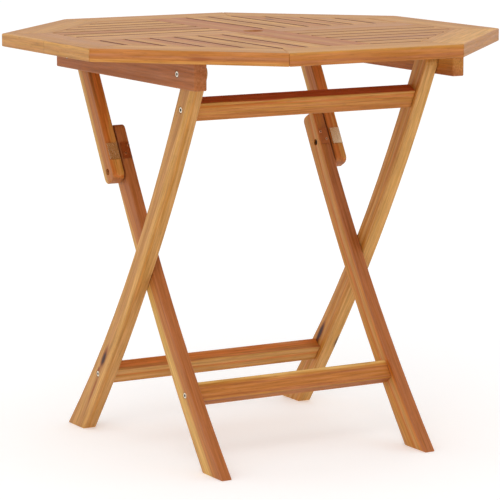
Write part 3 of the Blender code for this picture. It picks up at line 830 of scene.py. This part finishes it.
@dataclass
class Hardware:
    """The bolts and plates of the model, and the screws that hold wood to wood.

    All sizes are in millimetres, but the shares of a head's width, which have none.
    """

    head: float = 10.4
    bolt_head: float = 12.0
    head_height: float = 3.4
    socket: float = 5.2
    socket_depth: float = 2.2
    plate_head: float = 5.2
    plate_head_height: float = 1.1
    plate_socket: float = 2.4
    plate_socket_depth: float = 0.8
    head_sides: int = 36
    bevel_share: float = 0.11
    inset_share: float = 0.08
    dome_share: float = 0.02
    upward: float = 0.9
    smooth_angle: float = 32.0
    socket_share: float = 0.59
    socket_start: float = -0.2
    sunk: float = 0.5
    recess_clearance: float = 0.3
    outer_face: float = 251.7
    inner_face: float = 224.4
    apron_middle: float = 264.5
    apron_recess: float = 24.0
    apron_screw_inset: float = 32.0
    plate: Pair = (32.0, 1.5)
    plate_screw_sink: float = 0.1
    plate_screws: tuple[tuple[str, float, float], ...] = (("upper", 9.0, 207.5),
                                                          ("lower", -6.5, 216.5))

    def _head(self, name: str, width: float, height: float, socket: float,
              depth: float) -> bpy.types.Mesh:
        """Model a domed screw head with a hexagonal socket, its outer face up at z 0.

        Args:
            name: the mesh's name.
            width: the head's width, in millimetres.
            height: its height.
            socket: the socket's width across flats.
            depth: the socket's depth.

        Returns:
            The finished mesh.
        """
        bpy.ops.object.select_all(action="DESELECT")
        bpy.ops.mesh.primitive_cylinder_add(vertices=self.head_sides, radius=width / 2 * MM,
                                            depth=height * MM, location=(0, 0, -height / 2 * MM))
        head = bpy.context.object
        head.name = name
        bpy.ops.object.transform_apply(location=True, rotation=True, scale=True)
        bpy.ops.object.mode_set(mode="EDIT")
        bpy.ops.mesh.select_mode(type="FACE")
        bpy.ops.mesh.select_all(action="DESELECT")
        shape = bmesh.from_edit_mesh(head.data)
        shape.faces.ensure_lookup_table()
        for face in shape.faces:
            face.select = face.normal.z > self.upward
        bmesh.update_edit_mesh(head.data)
        bpy.ops.mesh.bevel(offset=self.bevel_share * width * MM, segments=4, profile=0.6)
        bpy.ops.mesh.inset(thickness=self.inset_share * width * MM)
        bpy.ops.transform.translate(value=(0, 0, self.dome_share * width * MM))
        bpy.ops.object.mode_set(mode="OBJECT")
        bpy.ops.object.select_all(action="DESELECT")
        bpy.ops.mesh.primitive_cylinder_add(vertices=6, radius=socket / math.sqrt(3) * MM,
                                            depth=2 * depth * MM,
                                            location=(0, 0, self.dome_share * width * MM))
        key = bpy.context.object
        bpy.ops.object.select_all(action="DESELECT")
        bpy.context.view_layer.objects.active = head
        head.select_set(True)
        cut = head.modifiers.new("socket", "BOOLEAN")
        cut.operation = "DIFFERENCE"
        cut.solver = "EXACT"
        cut.object = key
        bpy.ops.object.modifier_apply(modifier=cut.name)
        bpy.data.objects.remove(key, do_unlink=True)
        bpy.ops.object.shade_smooth_by_angle(angle=math.radians(self.smooth_angle))
        mesh = head.data
        # the faces inside the socket take the second slot, which gets painted shade
        for face in mesh.polygons:
            within = face.center.to_2d().length < self.socket_share * socket * MM
            inside = within and face.center.z < self.socket_start * MM
            face.material_index = 1 if inside else 0
        bpy.data.objects.remove(head, do_unlink=True)
        return mesh

    def _place(self, name: str, source: bpy.types.Mesh, face: Vector, out: Vector, body: str,
               finishes: tuple[bpy.types.Material, bpy.types.Material]) -> None:
        """Put a copy of a head where it belongs, with its own mesh.

        Args:
            name: the piece's name.
            source: the head's mesh.
            face: the middle of its outer face, in metres.
            out: the way that it faces.
            body: the body that it rides on.
            finishes: its material and the painted shade for its socket.
        """
        mesh = source.copy()
        mesh.name = name
        turn = out.to_track_quat("Z", "Y").to_matrix().to_4x4()
        mesh.transform(Matrix.Translation(face) @ turn)
        for finish in finishes:
            mesh.materials.append(finish)
        piece = bpy.data.objects.new(name, mesh)
        bpy.context.scene.collection.objects.link(piece)
        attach(piece, body)
        log.info("screw: %s", name)

    def build(self) -> None:
        """Dress the steel nodes and add the screw heads."""
        zinc = ZINC_PLATED.material("zinc_plated_steel")
        sheet = ROLLED_SHEET.material("rolled_sheet_steel")
        bronzed = BRONZED_SHEET.material("bronzed_sheet_steel")
        bronzed_screw = BRONZED_SCREW.material("bronzed_screw_steel")
        # a near-black finish that paints shade on the knee bolts and inside the screw sockets
        dark = PAINTED_SHADE_STEEL.material("painted_shade_steel")
        for side in SIDES:
            for node in ("outer_leg_bolt_", "strut_bolt_"):
                face = middle_of(node + side)
                face.x = max((corner.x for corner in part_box(node + side)), key=abs)
                # the bolt's socket and the rim of its head get painted shade
                finish = ZINC_PLATED.material(f"zinc_plated_{node}{side}",
                                              (face, self.bolt_head / 2 * MM))
                dress(node + side, finish)
            dress("crossing_pin_" + side, zinc)
            # painted shade: the knee bolts sit deep in their holes and are made near-black for the
            # shade there
            dress("knee_bolt_" + side, dark)
            dress("strut_plate_" + side, sheet)
            dress("leg_plate_" + side, bronzed)
        head = self._head("screw_head", self.head, self.head_height, self.socket, self.socket_depth)
        small = self._head("plate_screw_head", self.plate_head, self.plate_head_height,
                           self.plate_socket, self.plate_socket_depth)
        rails = {"outer_upper_rail": ("outer_frame", self.outer_face),
                 "outer_lower_rail": ("outer_frame", self.outer_face),
                 "inner_rail": ("inner_frame", self.inner_face)}
        apron_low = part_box("apron_left")[0]
        apron_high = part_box("apron_left")[1]
        for side, sign in SIDES.items():
            for rail, (body, level) in rails.items():
                middle = middle_of(rail)
                face = Vector((sign * (level - self.sunk) * MM, middle.y, middle.z))
                self._place(f"{rail}_screw_{side}", head, face, Vector((sign, 0, 0)), body,
                            (zinc, dark))
            inset = self.apron_screw_inset * MM
            places = {"front": apron_low.y + inset, "middle": 0.0, "back": apron_high.y - inset}
            rise = (self.apron_recess - self.head_height - self.recess_clearance) * MM
            for spot, y in places.items():
                face = Vector((sign * self.apron_middle * MM, y, apron_low.z + rise))
                self._place(f"apron_screw_{spot}_{side}", head, face, -UP, "top",
                            (zinc, dark))
            node = f"leg_plate_{side}"
            lean = lean_of(node, *self.plate)
            up = Vector((0, math.sin(lean), math.cos(lean)))
            out = Vector((0, -math.cos(lean), math.sin(lean)))
            proud = self.plate[1] / 2 + self.plate_head_height - self.plate_screw_sink
            surface = middle_of(node) + out * proud * MM
            for spot, above, away in self.plate_screws:
                face = surface + up * above * MM
                face.x = sign * away * MM
                self._place(f"plate_screw_{spot}_{side}", small, face, out, "inner_frame",
                            (bronzed_screw, dark))


@dataclass
class Studio:
    """A white floor, an even white sky, one soft lamp and the camera."""

    ambient: float = 0.90
    lamp_place: Triple = (-2.6, -3.0, 3.4)
    lamp_size: float = 2.6
    lamp_power: float = 40.0
    floor_half: float = 40.0
    floor_gap: float = 0.3 * MM
    floor_white: float = 0.94
    floor_glow: float = 0.19
    near_gaps: int = 7
    lamp_aim: Triple = (0.0, 0.0, 0.45)
    camera_place: Triple = (-2.4836, -4.2912, 1.1648)
    camera_turn: Triple = (80.7003, 0.0003, -29.9910)
    lens: float = 194.708
    clip: Pair = (0.1, 200.0)

    def _sky(self) -> None:
        """Make the world: white to the camera and in reflections, a little dimmer as light."""
        world = bpy.data.worlds.new("studio_sky")
        bpy.context.scene.world = world
        world.use_nodes = True
        tree = world.node_tree
        background = tree.nodes["Background"]
        rays = add_node(tree, "ShaderNodeLightPath")
        seen = add_node(tree, "ShaderNodeMath",
                        {0: rays.outputs["Is Camera Ray"], 1: rays.outputs["Is Glossy Ray"]},
                        operation="MAXIMUM")
        seen = add_node(tree, "ShaderNodeMath",
                        {0: seen.outputs[0], 1: rays.outputs["Is Transmission Ray"]},
                        operation="MAXIMUM")
        level = add_node(tree, "ShaderNodeMath",
                         {0: seen.outputs[0], 1: 1 - self.ambient, 2: self.ambient},
                         operation="MULTIPLY_ADD")
        background.inputs["Color"].default_value = (1, 1, 1, 1)
        tree.links.new(level.outputs[0], background.inputs["Strength"])

    def _floor(self) -> None:
        """Make the floor: matt white, and open from below so that the underside can be seen.

        It is also open to rays of a few gaps' length, or the soles of the feet would be black.
        """
        bpy.ops.object.select_all(action="DESELECT")
        bpy.ops.mesh.primitive_plane_add(size=2 * self.floor_half, location=(0, 0, -self.floor_gap))
        floor = bpy.context.object
        floor.name = "floor"
        made, tree, _ = new_material("matt_white_floor")
        tree.nodes.clear()
        white = (self.floor_white, self.floor_white, self.floor_white, 1)
        matt = add_node(tree, "ShaderNodeBsdfDiffuse", {"Color": white})
        rays = add_node(tree, "ShaderNodeLightPath")
        seen = add_node(tree, "ShaderNodeMath",
                        {0: rays.outputs["Is Camera Ray"], 1: rays.outputs["Is Glossy Ray"]},
                        operation="MAXIMUM")
        glow_level = add_node(tree, "ShaderNodeMath", {0: seen.outputs[0], 1: self.floor_glow},
                              operation="MULTIPLY")
        glow = add_node(tree, "ShaderNodeEmission", {"Strength": glow_level.outputs[0]})
        lit = add_node(tree, "ShaderNodeAddShader", {0: matt.outputs[0], 1: glow.outputs[0]})
        clear = add_node(tree, "ShaderNodeBsdfTransparent")
        side = add_node(tree, "ShaderNodeNewGeometry")
        near = add_node(tree, "ShaderNodeMath",
                        {0: rays.outputs["Ray Length"], 1: self.floor_gap * self.near_gaps},
                        operation="LESS_THAN")
        gone = add_node(tree, "ShaderNodeMath", {0: side.outputs["Backfacing"], 1: near.outputs[0]},
                        operation="MAXIMUM")
        both = add_node(tree, "ShaderNodeMixShader",
                        {0: gone.outputs[0], 1: lit.outputs[0], 2: clear.outputs[0]})
        add_node(tree, "ShaderNodeOutputMaterial", {"Surface": both.outputs[0]})
        floor.data.materials.append(made)

    def _lamp(self) -> None:
        """Make the soft lamp, high on the left in front of the table."""
        data = bpy.data.lights.new("soft_lamp", "AREA")
        data.size = self.lamp_size
        data.energy = self.lamp_power
        lamp = bpy.data.objects.new("soft_lamp", data)
        lamp.location = self.lamp_place
        aim = Vector(self.lamp_aim) - Vector(self.lamp_place)
        lamp.rotation_euler = aim.to_track_quat("-Z", "Y").to_euler()
        bpy.context.scene.collection.objects.link(lamp)

    def _camera(self) -> None:
        """Make the camera, at the photograph's viewing angle."""
        data = bpy.data.cameras.new("camera")
        data.lens = self.lens
        data.clip_start, data.clip_end = self.clip
        camera = bpy.data.objects.new("camera", data)
        camera.location = self.camera_place
        camera.rotation_euler = tuple(math.radians(angle) for angle in self.camera_turn)
        bpy.context.scene.collection.objects.link(camera)
        bpy.context.scene.camera = camera

    def build(self) -> None:
        """Make the whole studio."""
        bpy.context.scene.view_settings.view_transform = "Standard"
        self._sky()
        self._floor()
        self._lamp()
        self._camera()
        log.info("studio: sky, floor, lamp and camera")


def main() -> None:
    """Dress the table, add its screws and set up the studio."""
    logging.basicConfig(level=logging.INFO, format="%(name)s: %(message)s")
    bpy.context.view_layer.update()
    Top().build()
    Legs().build()
    Hardware().build()
    Studio().build()
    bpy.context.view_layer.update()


if __name__ == "__main__":
    main()
